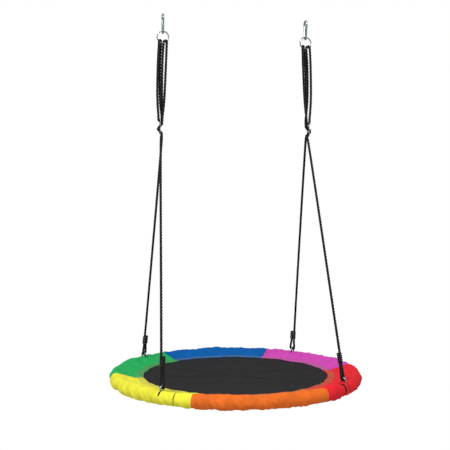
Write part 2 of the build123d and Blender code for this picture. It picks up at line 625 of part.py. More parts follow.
for corner in CORNERS:
    side_name, end_name = corner.split("_")
    side = SIDES[side_name]
    top_spot = LEG_TOP_FRONT if end_name == "front" else LEG_TOP_BACK
    sign = -1 if end_name == "front" else 1
    leg_top = hang(side, top_spot[0], sign * top_spot[1], PLATE_FOOT_Z + top_spot[2])
    _, wire, up, across_loop = loop_points(corner, side_name, leg_top)
    foot = Plane(origin=wire + up * CLAMP_ABOVE_EYE[corner], x_dir=across_loop, z_dir=up)
    core = ROPE_RADIUS + CLAMP_CORE_WALL
    rib_pitch = (CLAMP_HEIGHT - CLAMP_RIB_HEIGHT) / (CLAMP_RIBS - 1)
    with BuildPart() as clamp:
        extrude(clamp_section(foot, core), amount=CLAMP_HEIGHT)
        for rib in range(CLAMP_RIBS):
            extrude(clamp_section(foot.offset(rib * rib_pitch), core + CLAMP_RIB), amount=CLAMP_RIB_HEIGHT)
        with BuildSketch(foot.offset(-1)):
            with Locations((-ROPE_PAIR, 0), (ROPE_PAIR, 0)):
                Circle(ROPE_RADIUS + CLAMP_FIT)
        extrude(amount=CLAMP_HEIGHT + 2, mode=Mode.SUBTRACT)
    clamp.part.label = f"rope_clamp_{corner}"
    export_step(clamp.part, f"parts/rope_clamp_{corner}.step")
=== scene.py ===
from math import acos, atan2, cos, degrees, hypot, pi, radians, sin, sqrt

import bmesh
import bpy
from mathutils import Matrix, Vector, noise


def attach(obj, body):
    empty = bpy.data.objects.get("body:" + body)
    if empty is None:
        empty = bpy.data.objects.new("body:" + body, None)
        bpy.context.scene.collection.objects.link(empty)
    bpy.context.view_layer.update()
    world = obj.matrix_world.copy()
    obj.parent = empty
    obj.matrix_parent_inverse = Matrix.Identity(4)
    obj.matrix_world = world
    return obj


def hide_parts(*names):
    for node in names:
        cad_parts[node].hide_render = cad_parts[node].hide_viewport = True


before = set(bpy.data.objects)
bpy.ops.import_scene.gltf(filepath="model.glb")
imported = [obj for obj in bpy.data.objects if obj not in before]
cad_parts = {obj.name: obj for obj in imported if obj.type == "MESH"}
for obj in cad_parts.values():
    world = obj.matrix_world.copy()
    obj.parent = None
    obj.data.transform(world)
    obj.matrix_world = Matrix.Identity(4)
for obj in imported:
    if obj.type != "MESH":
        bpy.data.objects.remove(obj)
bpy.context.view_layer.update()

# Saucer swing. Metres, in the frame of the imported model: +Z up, +X to the right-hand hook.
# The seat's cover, hem, mat and stitches, the twisted ropes and the clamps are made here.

# ---------------------------------------------------------------- sizes, as in the model
SIDES = {"left": -1, "right": 1}
CORNERS = {"left_front": 225.0, "left_back": 135.0, "right_front": 315.0, "right_back": 45.0}
PANELS = {"magenta": 0.0, "blue": 60.0, "green": 120.0, "yellow": 180.0, "orange": 240.0, "red": 300.0}
SEAT_Z = -1.419             # middle of the rim
HOOK_X = 0.290
RIM_RADIUS = 0.474
COVER_RADIUS = 0.026
HEM_INNER = 0.367
HEM_OUTER = 0.401
MAT_RADIUS = 0.398
MAT_THICKNESS = 0.0024
HEM_FACE = 0.00335          # outside of the hem's layers, above and below the mat's middle
HEM_LAYER = 0.0019
RING_Z = -0.0837
RING_RADIUS = 0.0225
ROPE_RADIUS = 0.004
ROPE_PAIR = 0.0044
EYE_ROD_RADIUS = 0.003
EYE_RADIUS = 0.0095
EYE_HEIGHT = 0.041
CLAMP_ABOVE_EYE = {"left_front": 0.066, "left_back": 0.044, "right_front": 0.056, "right_back": 0.044}
CLAMP_HEIGHT = 0.037


# ================================================================ materials
def new_material(name, colour, roughness, metallic=0.0, specular=0.5):
    """A material with its own Principled shader, which is returned with its nodes and links."""
    material = bpy.data.materials.new(name)
    material.use_nodes = True
    nodes, links = material.node_tree.nodes, material.node_tree.links
    shader = nodes["Principled BSDF"]
    shader.inputs["Base Color"].default_value = (*colour, 1.0)
    shader.inputs["Roughness"].default_value = roughness
    shader.inputs["Metallic"].default_value = metallic
    shader.inputs["Specular IOR Level"].default_value = specular
    return material, shader, nodes, links


def coordinates(nodes, links, output, scale):
    """Object or UV coordinates, scaled."""
    source = nodes.new("ShaderNodeTexCoord")
    mapping = nodes.new("ShaderNodeMapping")
    mapping.inputs["Scale"].default_value = scale
    links.new(source.outputs[output], mapping.inputs["Vector"])
    return mapping.outputs["Vector"]


def noise_of(nodes, links, vector, scale, detail=3.0, roughness=0.55):
    texture = nodes.new("ShaderNodeTexNoise")
    texture.inputs["Scale"].default_value = scale
    texture.inputs["Detail"].default_value = detail
    texture.inputs["Roughness"].default_value = roughness
    links.new(vector, texture.inputs["Vector"])
    return texture.outputs["Fac"]


def maths(nodes, links, operation, first, second):
    node = nodes.new("ShaderNodeMath")
    node.operation = operation
    for socket, value in zip(node.inputs, (first, second)):
        if isinstance(value, (int, float)):
            socket.default_value = value
        else:
            links.new(value, socket)
    return node.outputs["Value"]


def ramp_between(nodes, links, factor, low, high, start=0.3, end=0.7):
    """A colour that goes from low to high as factor goes from start to end."""
    ramp = nodes.new("ShaderNodeValToRGB")
    ramp.color_ramp.elements[0].position = start
    ramp.color_ramp.elements[1].position = end
    ramp.color_ramp.elements[0].color = (*low, 1.0)
    ramp.color_ramp.elements[1].color = (*high, 1.0)
    links.new(factor, ramp.inputs["Fac"])
    return ramp.outputs["Color"]


def bump(nodes, links, height, distance, strength=1.0, under=None):
    node = nodes.new("ShaderNodeBump")
    node.inputs["Distance"].default_value = distance
    node.inputs["Strength"].default_value = strength
    links.new(height, node.inputs["Height"])
    if under is not None:
        links.new(under, node.inputs["Normal"])
    return node.outputs["Normal"]


def weave_height(nodes, links, uv, pitch):
    """Over and under of a plain weave, from the cloth's own coordinates in metres."""
    split = nodes.new("ShaderNodeSeparateXYZ")
    links.new(uv, split.inputs["Vector"])
    along, across = (
        maths(nodes, links, "SINE", maths(nodes, links, "MULTIPLY", split.outputs[axis], 2 * pi / pitch), 0)
        for axis in ("X", "Y")
    )
    return maths(nodes, links, "MULTIPLY", along, across)


def tinted(colour, amount):
    return tuple(min(1.0, channel * amount) for channel in colour)


def woven_cloth(name, colour, pitch=0.0011, creases=0.0032, roughness=0.72, specular=0.10):
    """Coated polyester cloth: a plain weave, soft creases and a little change of shade."""
    material, shader, nodes, links = new_material(name, colour, roughness, specular=specular)
    uv = coordinates(nodes, links, "UV", (1.0, 1.0, 1.0))
    shade = noise_of(nodes, links, uv, 22.0, detail=5.0)
    links.new(
        ramp_between(nodes, links, shade, tinted(colour, 0.84), tinted(colour, 1.10)),
        shader.inputs["Base Color"],
    )
    soft = noise_of(nodes, links, coordinates(nodes, links, "UV", (55.0, 26.0, 1.0)), 1.0, detail=4.0)
    creased = bump(nodes, links, soft, creases, 0.9)
    weave = weave_height(nodes, links, uv, pitch)
    links.new(bump(nodes, links, weave, 0.00012, 0.8, under=creased), shader.inputs["Normal"])
    rough = maths(nodes, links, "MULTIPLY_ADD", shade, 0.16)
    rough.node.inputs[2].default_value = roughness - 0.08
    links.new(rough, shader.inputs["Roughness"])
    return material


def rope_yarn():
    """Black polyethylene yarn: fine filaments along each strand, with small glints."""
    material, shader, nodes, links = new_material("rope_yarn", (0.003, 0.003, 0.0033), 0.30, specular=0.28)
    fibres = coordinates(nodes, links, "Object", (900.0, 900.0, 260.0))
    strands = noise_of(nodes, links, fibres, 1.0, detail=4.0)
    links.new(
        ramp_between(nodes, links, strands, (0.0012, 0.0012, 0.0013), (0.0075, 0.0075, 0.008)),
        shader.inputs["Base Color"],
    )
    links.new(bump(nodes, links, strands, 0.0005, 0.7), shader.inputs["Normal"])
    return material


def clamp_plastic():
    """Black moulded plastic with a fine texture."""
    material, shader, nodes, links = new_material(
        "clamp_plastic", (0.003, 0.003, 0.0033), 0.26, specular=0.34
    )
    grain = noise_of(nodes, links, coordinates(nodes, links, "Object", (2500.0,) * 3), 1.0)
    links.new(bump(nodes, links, grain, 0.00006, 0.6), shader.inputs["Normal"])
    worn = noise_of(nodes, links, coordinates(nodes, links, "Object", (120.0,) * 3), 1.0)
    links.new(
        ramp_between(nodes, links, worn, (0.002, 0.002, 0.0022), (0.006, 0.006, 0.0065)),
        shader.inputs["Base Color"],
    )
    return material


def zinc_steel(name, colour, roughness):
    """Zinc-plated steel: bright, a little cloudy, with fine scratches."""
    material, shader, nodes, links = new_material(name, colour, roughness, metallic=1.0)
    cloud = noise_of(nodes, links, coordinates(nodes, links, "Object", (160.0,) * 3), 1.0, detail=5.0)
    links.new(
        ramp_between(nodes, links, cloud, tinted(colour, 0.72), tinted(colour, 1.15)),
        shader.inputs["Base Color"],
    )
    rough = maths(nodes, links, "MULTIPLY_ADD", cloud, 0.22)
    rough.node.inputs[2].default_value = roughness - 0.10
    links.new(rough, shader.inputs["Roughness"])
    scratch = noise_of(nodes, links, coordinates(nodes, links, "Object", (700.0, 700.0, 2600.0)), 1.0)
    links.new(bump(nodes, links, scratch, 0.00004, 0.5), shader.inputs["Normal"])
    return material


def dark_foam():
    """Charcoal closed-cell foam, seen through the slits."""
    material, shader, nodes, links = new_material("dark_foam", (0.018, 0.018, 0.020), 0.85, specular=0.2)
    cells = noise_of(nodes, links, coordinates(nodes, links, "Object", (900.0,) * 3), 1.0)
    links.new(bump(nodes, links, cells, 0.0004, 0.8), shader.inputs["Normal"])
    return material


def thread(name, colour):
    """Sewing thread."""
    material, shader, nodes, links = new_material(name, colour, 0.55, specular=0.3)
    twist = noise_of(nodes, links, coordinates(nodes, links, "Object", (1800.0,) * 3), 1.0)
    links.new(
        ramp_between(nodes, links, twist, tinted(colour, 0.75), tinted(colour, 1.15)),
        shader.inputs["Base Color"],
    )
    return material


CLOTH_COLOURS = {
    "magenta": (0.700, 0.075, 0.510),
    "blue": (0.000, 0.122, 0.445),
    "green": (0.021, 0.450, 0.115),
    "yellow": (0.910, 0.870, 0.055),
    "orange": (0.871, 0.171, 0.021),
    "red": (0.900, 0.022, 0.036),
}
THREAD_COLOUR = (0.42, 0.42, 0.22)
CLOTH = {name: woven_cloth(f"cloth_{name}", colour) for name, colour in CLOTH_COLOURS.items()}
MAT_CLOTH = woven_cloth(
    "cloth_black", (0.0125, 0.0125, 0.013), pitch=0.0016, creases=0.0010, roughness=0.72, specular=0.16
)
YARN = rope_yarn()
PLASTIC = clamp_plastic()
STEEL = zinc_steel("zinc_steel", (0.40, 0.44, 0.46), 0.24)
BARE_STEEL = zinc_steel("bare_steel", (0.55, 0.56, 0.58), 0.34)
FOAM = dark_foam()
THREAD = {
    name: thread(f"thread_{name}", tuple((own + pale) / 2 for own, pale in zip(colour, THREAD_COLOUR)))
    for name, colour in CLOTH_COLOURS.items()
}


# ================================================================ small tools
def finished(mesh_object, material, body, smooth=True):
    """Give a piece its material and the body that it rides on."""
    mesh_object.data.materials.clear()
    mesh_object.data.materials.append(material)
    for polygon in mesh_object.data.polygons:
        polygon.use_smooth = smooth
    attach(mesh_object, body)
    return mesh_object


def object_from(bm, name):
    mesh = bpy.data.meshes.new(name)
    bm.to_mesh(mesh)
    bm.free()
    piece = bpy.data.objects.new(name, mesh)
    bpy.context.collection.objects.link(piece)
    return piece


def rim_point(angle, radius, height):
    a = radians(angle)
    return Vector((radius * cos(a), radius * sin(a), SEAT_Z + height))


def angle_of(point):
    return degrees(atan2(point.y, point.x)) % 360.0


def turned_by(angle, start):
    """How far an angle is past a start, from -180 to 180."""
    return (angle - start + 180.0) % 360.0 - 180.0


def wave(angle, period_count, seed):
    """A smooth, uneven wave round the seat, from about -1 to 1."""
    a = radians(angle)
    spot = Vector((cos(a), sin(a), 0.0)) * period_count / (2 * pi) * 2.0
    return noise.noise(spot + Vector((0.0, 0.0, seed))) * 1.6


# ================================================================ camera and light
camera_data = bpy.data.cameras.new("camera")
camera_data.lens = 64.0
camera_data.sensor_width = 36.0
camera = bpy.data.objects.new("camera", camera_data)
camera.location = (-0.6698, -3.1277, -0.7566)
VIEW_DIRECTION = Vector((0.1966, 0.980, -0.0197))
camera.rotation_euler = VIEW_DIRECTION.to_track_quat("-Z", "Y").to_euler()
bpy.context.collection.objects.link(camera)
bpy.context.scene.camera = camera


def area_light(name, place, target, size, power):
    data = bpy.data.lights.new(name, "AREA")
    data.shape = "DISK"
    data.size = size
    data.energy = power
    light = bpy.data.objects.new(name, data)
    light.location = place
    light.rotation_euler = (Vector(target) - Vector(place)).to_track_quat("-Z", "Y").to_euler()
    bpy.context.collection.objects.link(light)
    return light


area_light("key", (-1.6, -2.2, 2.0), (0, 0, -1.2), 1.8, 112.0)
area_light("fill", (2.6, -2.4, 0.4), (0, 0, -1.1), 2.4, 14.0)

world = bpy.data.worlds.new("studio")
bpy.context.scene.world = world
world.use_nodes = True
nodes, links = world.node_tree.nodes, world.node_tree.links
soft_box = nodes["Background"]
soft_box.inputs["Color"].default_value = (1.0, 1.0, 1.0, 1.0)
soft_box.inputs["Strength"].default_value = 0.50
backdrop = nodes.new("ShaderNodeBackground")
seen = nodes.new("ShaderNodeLightPath")
chosen = nodes.new("ShaderNodeMixShader")
links.new(seen.outputs["Is Camera Ray"], chosen.inputs["Fac"])
links.new(soft_box.outputs["Background"], chosen.inputs[1])
links.new(backdrop.outputs["Background"], chosen.inputs[2])
links.new(chosen.outputs["Shader"], nodes["World Output"].inputs["Surface"])
backdrop.inputs["Color"].default_value = (1.0, 1.0, 1.0, 1.0)
bpy.context.scene.view_settings.view_transform = "Standard"

# a pale floor that is white to the camera, and gives back only part of the light that falls on it
FLOOR_Z = -2.10
FLOOR_RADIUS = 30.0
floor_mesh = bmesh.new()
bmesh.ops.create_circle(
    floor_mesh, cap_ends=True, segments=64, radius=FLOOR_RADIUS, matrix=Matrix.Translation((0, 0, FLOOR_Z))
)
floor = object_from(floor_mesh, "floor")
floor_paint, floor_shader, nodes, links = new_material("floor_paint", (0.62, 0.62, 0.62), 0.9, specular=0.1)
floor_glow = nodes.new("ShaderNodeEmission")
floor_seen = nodes.new("ShaderNodeLightPath")
floor_mix = nodes.new("ShaderNodeMixShader")
links.new(floor_seen.outputs["Is Camera Ray"], floor_mix.inputs["Fac"])
links.new(floor_shader.outputs["BSDF"], floor_mix.inputs[1])
links.new(floor_glow.outputs["Emission"], floor_mix.inputs[2])
links.new(floor_mix.outputs["Shader"], nodes["Material Output"].inputs["Surface"])
floor.data.materials.append(floor_paint)


# ================================================================ ropes
EYE_X = RIM_RADIUS * cos(radians(45.0))
EYE_TOP_Z = SEAT_Z + EYE_HEIGHT
EYE_BEND_Z = EYE_HEIGHT - EYE_RADIUS
PLATE_FOOT_Z = -0.463
RING_CROSSING_X = 0.008
RING_FIT = 0.0002           # rope over the ring's lower wire
RING_CROSSING_HALF = 0.0079
BELOW_RING_CORNER = 0.010
LOOP_SEAT_FIT = 0.0007
LOOP_SIDE_FIT = {"left": 0.0009, "right": 0.0021}
LOOP_SHOULDER = 0.012
LOOP_NECK = 0.006
# inward, out along y, above the plate's foot
PLATE_WEAVE = [
    (0.0080, 0.0048, -0.0020),
    (0.0078, 0.0048, 0.0050),
    (-0.0068, 0.0047, 0.0178),
    (-0.0068, 0.0049, 0.0252),
    (0.0070, 0.0068, 0.0372),
    (0.0072, 0.0076, 0.0444),
    (0.0076, 0.0090, 0.0670),
]
LEG_TOP = {"front": (0.0025, 0.0062, -0.0140), "back": (0.0110, 0.0062, -0.0140)}
STRAND_FRONT = [(0.0120, -0.0090, 0.1120), (0.0140, -0.0060, 0.1720), (0.0150, -0.0060, 0.2920)]
STRAND_BAR_IN = [
    (0.0068, 0.0, 0.0700), (0.0050, 0.0, 0.1120), (0.0030, -0.0010, 0.1720), (0.0015, 0.0045, 0.2920),
]
STRAND_BAR_OUT = [
    (-0.0068, 0.0, 0.0700), (-0.0120, -0.0020, 0.1120),
    (-0.0160, -0.0040, 0.1720), (-0.0170, -0.0065, 0.2920),
]
STRAND_BACK = [(0.0, 0.0090, 0.1120), (-0.0050, 0.0070, 0.1720), (-0.0080, 0.0070, 0.2920)]
BAR_CORNER = (0.0072, 0.0518)
RING_BIGHTS = [(0.0145, 0.0040), (-0.0160, -0.0060)]


def hanger_x(z):
    """How far from the middle a rope's plane is, at a height."""
    return HOOK_X + (EYE_X - HOOK_X) * (RING_Z - z) / (RING_Z - EYE_TOP_Z)


def hang(side, inward, y, z):
    """A point by its distance in from the rope's plane, its y and its height."""
    return Vector((side * (hanger_x(z) - inward), y, z))


def loop_points(corner, side_name, leg_top):
    """The loop round one eye, from its dead end in the clamp to where the leg leaves the clamp.

    Also returns the place of the hoop's wire inside the loop, the way up the leg and the way
    across from the dead end to the leg.
    """
    a = radians(CORNERS[corner])
    radial = Vector((cos(a), sin(a), 0.0))
    inward_y = Vector((0.0, -1.0 if sin(a) > 0 else 1.0, 0.0))
    up, across_loop = Vector((0.0, 0.0, 1.0)), Vector()
    for _ in range(6):
        lean = atan2(-up.dot(radial), up.z)
        wire = radial * (RIM_RADIUS - EYE_RADIUS * sin(lean))
        wire += Vector((0.0, 0.0, SEAT_Z + EYE_BEND_Z + EYE_RADIUS * cos(lean)))
        up = (leg_top - across_loop * ROPE_PAIR - wire).normalized()
        along_wire = radial * cos(lean) + Vector((0.0, 0.0, sin(lean)))
        across_loop = up.cross(along_wire).normalized()
        if across_loop.dot(inward_y) < 0:
            across_loop = across_loop * -1
    half = EYE_ROD_RADIUS + ROPE_RADIUS + LOOP_SIDE_FIT[side_name]
    seat = EYE_ROD_RADIUS + ROPE_RADIUS + LOOP_SEAT_FIT
    clamp_foot = CLAMP_ABOVE_EYE[corner]
    spots = [
        (-ROPE_PAIR, clamp_foot + CLAMP_HEIGHT - ROPE_RADIUS),
        (-ROPE_PAIR, clamp_foot - LOOP_NECK),
        (-half, LOOP_SHOULDER),
        (-half, -seat),
        (half, -seat),
        (half, LOOP_SHOULDER),
        (ROPE_PAIR, clamp_foot - LOOP_NECK),
    ]
    return [wire + across_loop * x + up * y for x, y in spots], wire, up, across_loop


def leg_top_of(side, end_name):
    inward, y, above = LEG_TOP[end_name]
    return hang(side, inward, -y if end_name == "front" else y, PLATE_FOOT_Z + above)


def rope_route(side_name):
    """The points of one rope's route, as in the model."""
    side = SIDES[side_name]
    crossing_z = RING_Z - sqrt(RING_RADIUS**2 - RING_CROSSING_X**2) + RING_CROSSING_HALF + RING_FIT

    def beside_plate(spot, sign=1):
        inward, y, above = spot
        return hang(side, inward, sign * y, PLATE_FOOT_Z + above)

    def over_ring(bight):
        """Up in front of the ring's lower wire and down behind it."""
        front, back = bight
        ends = [
            Vector((side * (HOOK_X - front), -RING_CROSSING_HALF, crossing_z)),
            Vector((side * (HOOK_X - back), RING_CROSSING_HALF, crossing_z)),
        ]
        lower = [end - Vector((0.0, 0.0, BELOW_RING_CORNER)) for end in ends]
        return [lower[0], *ends, lower[1]]

    front_top, back_top = leg_top_of(side, "front"), leg_top_of(side, "back")
    front_loop = loop_points(f"{side_name}_front", side_name, front_top)[0]
    back_loop = loop_points(f"{side_name}_back", side_name, back_top)[0]
    bar_x, bar_z = BAR_CORNER
    return [
        *front_loop,
        front_top,
        *[beside_plate(spot, -1) for spot in PLATE_WEAVE],
        *[beside_plate(spot) for spot in STRAND_FRONT],
        *over_ring(RING_BIGHTS[0]),
        *[beside_plate(spot) for spot in reversed(STRAND_BAR_IN)],
        beside_plate((bar_x, 0.0, bar_z)),
        beside_plate((-bar_x, 0.0, bar_z)),
        *[beside_plate(spot) for spot in STRAND_BAR_OUT],
        *over_ring(RING_BIGHTS[1]),
        *[beside_plate(spot) for spot in reversed(STRAND_BACK)],
        *[beside_plate(spot) for spot in reversed(PLATE_WEAVE)],
        back_top,
        *reversed(back_loop),
    ]


def line_of(points):
    """The points of the smooth line through a route, read from its spline."""
    data = bpy.data.curves.new("route", "CURVE")
    data.dimensions = "3D"
    data.resolution_u = 24
    spline = data.splines.new("NURBS")
    spline.points.add(len(points) - 1)
    for spot, point in zip(spline.points, points):
        spot.co = (*point, 1.0)
    spline.order_u = 3
    spline.use_endpoint_u = True
    holder = bpy.data.objects.new("route", data)
    bpy.context.collection.objects.link(holder)
    bpy.context.view_layer.update()
    mesh = bpy.data.meshes.new_from_object(holder)
    line = [vertex.co.copy() for vertex in mesh.vertices]
    bpy.data.objects.remove(holder)
    bpy.data.curves.remove(data)
    bpy.data.meshes.remove(mesh)
    return line


def evenly(line, step):
    """Points along a line at one step of length."""
    spots, carried = [line[0].copy()], 0.0
    for before, after in zip(line, line[1:]):
        length = (after - before).length
        if length < 1e-9:
            continue
        reach = step - carried
        while reach <= length:
            spots.append(before.lerp(after, reach / length))
            reach += step
        carried = length - (reach - step)
    spots.append(line[-1].copy())
    return spots


def tube(name, line, radius, resolution):
    """A closed tube along a line of points, as a mesh."""
    data = bpy.data.curves.new(name, "CURVE")
    data.dimensions = "3D"
    data.bevel_depth = radius
    data.bevel_resolution = resolution
    data.use_fill_caps = True
    spline = data.splines.new("POLY")
    spline.points.add(len(line) - 1)
    for spot, point in zip(spline.points, line):
        spot.co = (*point, 1.0)
    holder = bpy.data.objects.new(name, data)
    bpy.context.collection.objects.link(holder)
    bpy.context.view_layer.update()
    mesh = bpy.data.meshes.new_from_object(holder)
    bpy.data.objects.remove(holder)
    bpy.data.curves.remove(data)
    return mesh


ROPE_LAY_PITCH = 0.036      # one turn of the three strands
STRAND_RADIUS = 0.00225
STRAND_OFFSET = 0.00300
CORE_RADIUS = 0.0020
STRAND_STEP = 0.0021


def twisted_rope(name, line):
    """Three strands laid round a core that follows a line."""
    spots = evenly(line, STRAND_STEP)
    rope = bmesh.new()
    aside = Vector((0.0, 1.0, 0.0))
    frames = []
    for index, spot in enumerate(spots):
        ahead = spots[min(index + 1, len(spots) - 1)] - spots[max(index - 1, 0)]
        ahead.normalize()
        aside = (aside - ahead * aside.dot(ahead)).normalized()
        frames.append((spot, aside.copy(), ahead.cross(aside)))
    core = tube(name, spots, CORE_RADIUS, 1)
    rope.from_mesh(core)
    bpy.data.meshes.remove(core)
    for strand in range(3):
        turn = 2 * pi * strand / 3
        strand_line = [
            spot + (first * cos(phase) + second * sin(phase)) * STRAND_OFFSET
            for index, (spot, first, second) in enumerate(frames)
            for phase in [turn + 2 * pi * index * STRAND_STEP / ROPE_LAY_PITCH]
        ]
        strand_mesh = tube(name, strand_line, STRAND_RADIUS, 2)
        rope.from_mesh(strand_mesh)
        bpy.data.meshes.remove(strand_mesh)
    return object_from(rope, name)


CLAMP_RIBS = 5
CLAMP_CORE = 0.0058
CLAMP_RIB = 0.0030
CLAMP_LEVELS = 8            # outlines in each rib
LOBE_STEPS = 14             # points round each lobe, less one


def ribbed_clamp(corner):
    """The moulded clamp round a loop's dead end and its leg: two lobes, with ribs along it."""
    side_name, end_name = corner.split("_")
    _, wire, up, across_loop = loop_points(corner, side_name, leg_top_of(SIDES[side_name], end_name))
    foot = wire + up * CLAMP_ABOVE_EYE[corner]
    aside = up.cross(across_loop)
    bm = bmesh.new()
    outlines = []
    for level in range(CLAMP_RIBS * CLAMP_LEVELS + 1):
        rise = level / (CLAMP_RIBS * CLAMP_LEVELS)
        swell = 0.5 - 0.5 * cos(2 * pi * CLAMP_RIBS * rise)
        radius = CLAMP_CORE + CLAMP_RIB * swell
        waist = pi - acos(ROPE_PAIR / radius)
        outline = []
        for lobe in (1, -1):
            for step in range(LOBE_STEPS + 1):
                turn = waist * (2.0 * step / LOBE_STEPS - 1.0)
                x, y = lobe * (ROPE_PAIR + radius * cos(turn)), lobe * radius * sin(turn)
                outline.append(bm.verts.new(foot + up * CLAMP_HEIGHT * rise + across_loop * x + aside * y))
        outlines.append(outline)
    for below, above in zip(outlines, outlines[1:]):
        for index in range(len(below)):
            nearby = (index + 1) % len(below)
            bm.faces.new((below[index], below[nearby], above[nearby], above[index]))
    bm.faces.new(outlines[0])
    bm.faces.new(outlines[-1])
    bmesh.ops.recalc_face_normals(bm, faces=bm.faces)
    clamp = finished(object_from(bm, f"{corner}_clamp"), PLASTIC, f"hanger_{side_name}")
    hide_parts(f"rope_clamp_{corner}")
    return clamp


for side_name in SIDES:
    rope_line = line_of(rope_route(side_name))
    rope = twisted_rope(f"rope_{side_name}_strands", rope_line)
    finished(rope, YARN, f"hanger_{side_name}")
    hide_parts(f"rope_{side_name}")
    ribbed_clamp(f"{side_name}_front")
    ribbed_clamp(f"{side_name}_back")

# ================================================================ steel and foam nodes
for node_name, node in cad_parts.items():
    material = None
    if node_name.startswith(("snap_hook", "gate", "o_ring", "adjuster_plate", "eye_")):
        material = STEEL
    elif node_name.startswith(("frame_tube", "joint_screws")):
        material = BARE_STEEL
    elif node_name.startswith("foam_sleeve"):
        material = FOAM
    if material is not None:
        for slot in node.material_slots:
            slot.material = material


# ================================================================ seat cover
PANEL_STEPS = 122           # so that each eye lies between two columns of the cloth
COLUMN = 60.0 / PANEL_STEPS
HALF_COLUMN = radians(COLUMN / 2) * RIM_RADIUS
FLANK_STEPS = 12
ARC_STEPS = 22
# round the tube, the place where the cover's flat flank meets its round
TOUCH_TURN = atan2(HEM_FACE, RIM_RADIUS - HEM_OUTER)
TOUCH_TURN += acos(COVER_RADIUS / hypot(RIM_RADIUS - HEM_OUTER, HEM_FACE))
TOUCH = degrees(TOUCH_TURN)
FLANK_END = RIM_RADIUS - COVER_RADIUS * cos(TOUCH_TURN)
SLIT_HALF_LENGTH = 0.027
SLIT_HALF_WIDTH = 0.0044
SLIT_END = 0.002            # the cloth is whole again this much before the slit's end
SLIT_EASE = 0.024           # how far along the rim the cloth gives way to a slit
SLIT_LIP = 0.004
# the second opening of a cover: its angle, its half width at the top, how far it bows along the rim
TUBE_OPENINGS = {
    "right_front": (310.9, 0.0062, 0.020),
    "left_front": (232.1, 0.0012, 0.008),
    "left_back": (142.1, 0.0030, -0.006),
    "right_back": (37.9, 0.0014, -0.004),
}
OPENING_SPAN = (38.0, 262.0)    # round the tube, in degrees from the hem
BOW_SPAN = (30.0, 270.0)
OPENING_EASE = 0.045        # how far along the rim the cloth follows the bow of an opening
LIP_EASE = 0.020            # how far it gives way to the opening's width
OPENING_LIP = 0.003
LEAST_OPEN = 0.15           # an opening's width at its ends, as a share of its width at the top
OPENING_SINK = 0.0012       # how far the cloth is drawn in beside an opening
SEAM_SINK = 0.0009          # and at the seam between two panels
SINK_SPAN = (25.0, 335.0)
HELD_AT_OPENING = 0.85
HELD_AT_SEAM = 0.8


def within(value):
    """A value kept from 0 to 1."""
    return max(0.0, min(1.0, value))


def section_line():
    """The cover's section from the hem's upper face over the tube to its lower face."""
    flank_height = COVER_RADIUS * sin(TOUCH_TURN)
    line = []
    for step in range(FLANK_STEPS):
        part = step / FLANK_STEPS
        line.append((HEM_OUTER + (FLANK_END - HEM_OUTER) * part, HEM_FACE + (flank_height - HEM_FACE) * part))
    for step in range(ARC_STEPS + 1):
        turn = TOUCH_TURN + (2 * pi - 2 * TOUCH_TURN) * step / ARC_STEPS
        line.append((RIM_RADIUS - COVER_RADIUS * cos(turn), COVER_RADIUS * sin(turn)))
    line += [(x, -y) for x, y in reversed(line[:FLANK_STEPS])]
    return line


def loft_round(profile):
    """Spin a profile round the seat, with the columns of PANEL_STEPS in each panel."""
    bm = bmesh.new()
    vertices = [bm.verts.new((x, 0.0, SEAT_Z + z)) for x, z in profile]
    edges = [bm.edges.new(pair) for pair in zip(vertices, vertices[1:])]
    bmesh.ops.spin(
        bm, geom=vertices + edges, cent=(0, 0, SEAT_Z), axis=(0, 0, 1), angle=2 * pi,
        steps=6 * PANEL_STEPS, use_merge=True,
    )
    return bm


def along_section(point):
    """The angle of a point round the tube, in degrees: 0 at the hem, 90 on top, 180 outside."""
    radial = hypot(point.x, point.y)
    return degrees(atan2(point.z - SEAT_Z, RIM_RADIUS - radial)) % 360.0


def top_offset(point):
    """The distance of a point from the tube's middle, outwards."""
    return hypot(point.x, point.y) - RIM_RADIUS


MAT_SAG = 0.005
HEM_RIPPLE = 0.0018
RIPPLE_WAVE = (30.0, 3.1)
RIPPLE_PAST_HEM = 0.006     # the ripple has died out this far under the cover
RIPPLE_FADE = 0.02


def drape(angle, radius):
    """How the mat and the hem lie above or below level."""
    sag = -MAT_SAG * max(0.0, 1.0 - (radius / HEM_OUTER) ** 2)
    ripple = HEM_RIPPLE * wave(angle, *RIPPLE_WAVE) * min(1.0, radius / HEM_INNER) ** 4
    return sag + ripple * within((HEM_OUTER + RIPPLE_PAST_HEM - radius) / RIPPLE_FADE)


def column_middle(angle):
    """The middle of the column of cloth that an angle falls in."""
    return (int(angle / COLUMN) + 0.5) * COLUMN


def along_rim(angle, start):
    """The distance along the rim from a start to an angle."""
    return radians(turned_by(angle, start)) * RIM_RADIUS


def nearness(away, ease):
    """1 at an opening, and 0 where the cloth no longer gives way to it."""
    return max(0.0, 1.0 - abs(away) / ease)


def in_opening(centre):
    """Whether a face of the cloth, by its centre, lies in a slit or a second opening."""
    angle = angle_of(centre)
    for corner, eye in CORNERS.items():
        if abs(turned_by(angle, eye)) < COLUMN / 2 and centre.z > SEAT_Z:
            if abs(top_offset(centre)) < SLIT_HALF_LENGTH - SLIT_END:
                return True
        if abs(turned_by(angle, column_middle(TUBE_OPENINGS[corner][0]))) < COLUMN / 2:
            if OPENING_SPAN[0] < along_section(centre) < OPENING_SPAN[1]:
                return True
    return False


